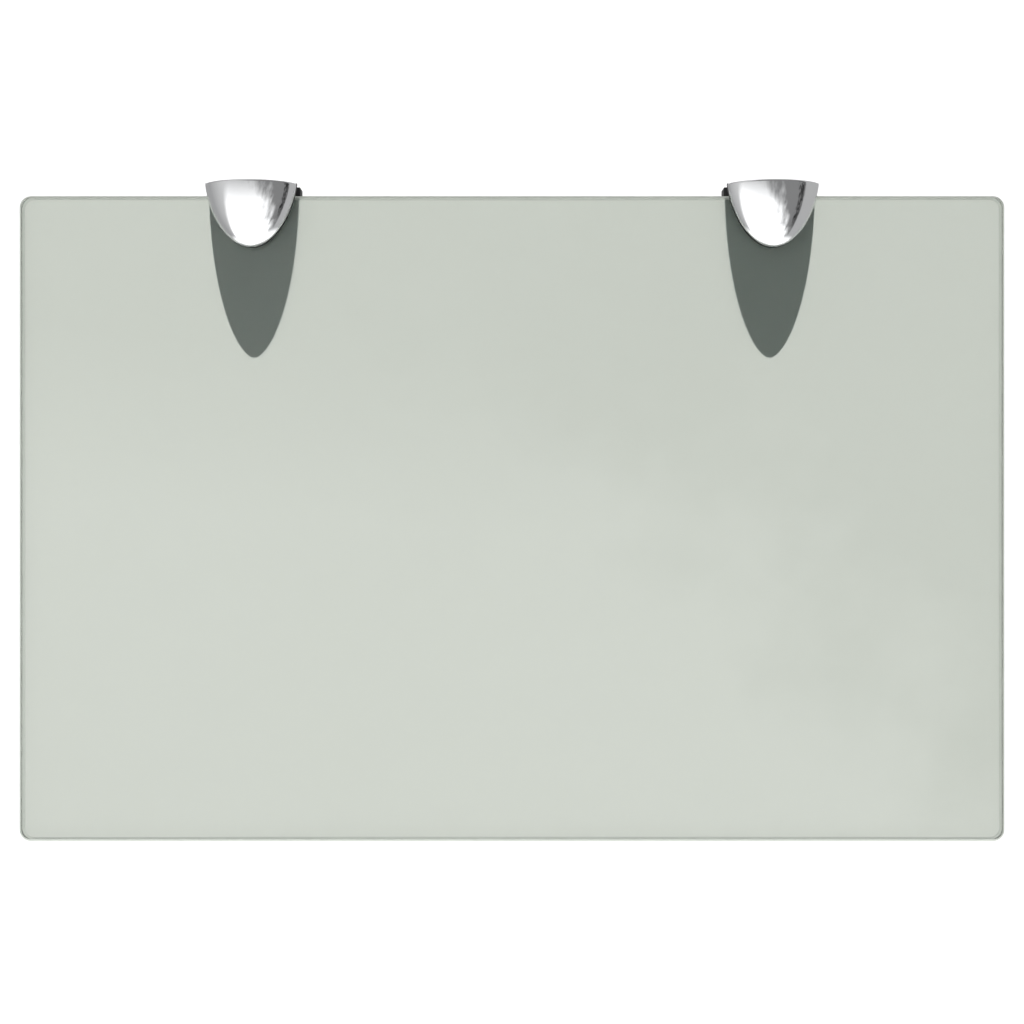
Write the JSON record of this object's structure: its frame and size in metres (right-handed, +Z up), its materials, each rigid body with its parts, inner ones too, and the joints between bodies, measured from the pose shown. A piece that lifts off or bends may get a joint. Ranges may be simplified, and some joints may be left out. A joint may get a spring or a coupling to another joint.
{
  "type": "glass wall shelf with clamp brackets",
  "caption": "Frosted glass wall shelf, clamped along its back edge by chromed brackets with domed upper jaws and beak-shaped lower jaws.",
  "frame": {"origin": "on the wall, midway between the two brackets, level with the underside of the glass", "axes": "+X along the wall to the right as a person facing the wall sees it, +Y into the wall, +Z up"},
  "size_m": [0.4, 0.2666, 0.0482],
  "materials": {
    "frosted_glass": "satin underside, polished edges",
    "chrome": "bright chrome plate",
    "black_rubber": "matt",
    "pad_rubber": "matt, fine grain",
    "zinc_plated_steel": "bright zinc plate",
    "black_steel": "black oxide"
  },
  "bodies": {
    "shelf": {"glass_panel": "frosted_glass", "left_lower_jaw": "chrome", "left_lower_pad": "pad_rubber", "left_edge_buffer": "black_rubber", "left_screw_washer": "zinc_plated_steel", "left_wall_plate": "zinc_plated_steel", "left_lock_screw": "black_steel", "right_lower_jaw": "chrome", "right_lower_pad": "pad_rubber", "right_edge_buffer": "black_rubber", "right_screw_washer": "zinc_plated_steel", "right_wall_plate": "zinc_plated_steel", "right_lock_screw": "black_steel"},
    "left_jaw": {"left_upper_jaw": "chrome", "left_upper_pad": "black_rubber"},
    "left_screw": {"left_clamp_screw": "zinc_plated_steel", "left_retaining_ring": "black_steel"},
    "right_jaw": {"right_upper_jaw": "chrome", "right_upper_pad": "black_rubber"},
    "right_screw": {"right_clamp_screw": "zinc_plated_steel", "right_retaining_ring": "black_steel"}
  },
  "joints": [
    {"name": "left_jaw_lift", "type": "slide", "parent": "shelf", "child": "left_jaw", "axis": [0, 0, 1], "range_m": [0, 0.004]},
    {"name": "left_screw_turn", "type": "hinge", "parent": "shelf", "child": "left_screw", "pos_m": [-0.1055, -0.011, -0.027], "axis": [0, 0, -1], "range_deg": [0, 2057.14]},
    {"name": "right_jaw_lift", "type": "slide", "parent": "shelf", "child": "right_jaw", "axis": [0, 0, 1], "range_m": [0, 0.004]},
    {"name": "right_screw_turn", "type": "hinge", "parent": "shelf", "child": "right_screw", "pos_m": [0.1055, -0.011, -0.027], "axis": [0, 0, -1], "range_deg": [0, 2057.14]}
  ],
  "couplings": [
    {"joint": "left_screw_turn", "follows": "left_jaw_lift", "rad_per_m": 8976},
    {"joint": "right_screw_turn", "follows": "right_jaw_lift", "rad_per_m": 8976}
  ]
}
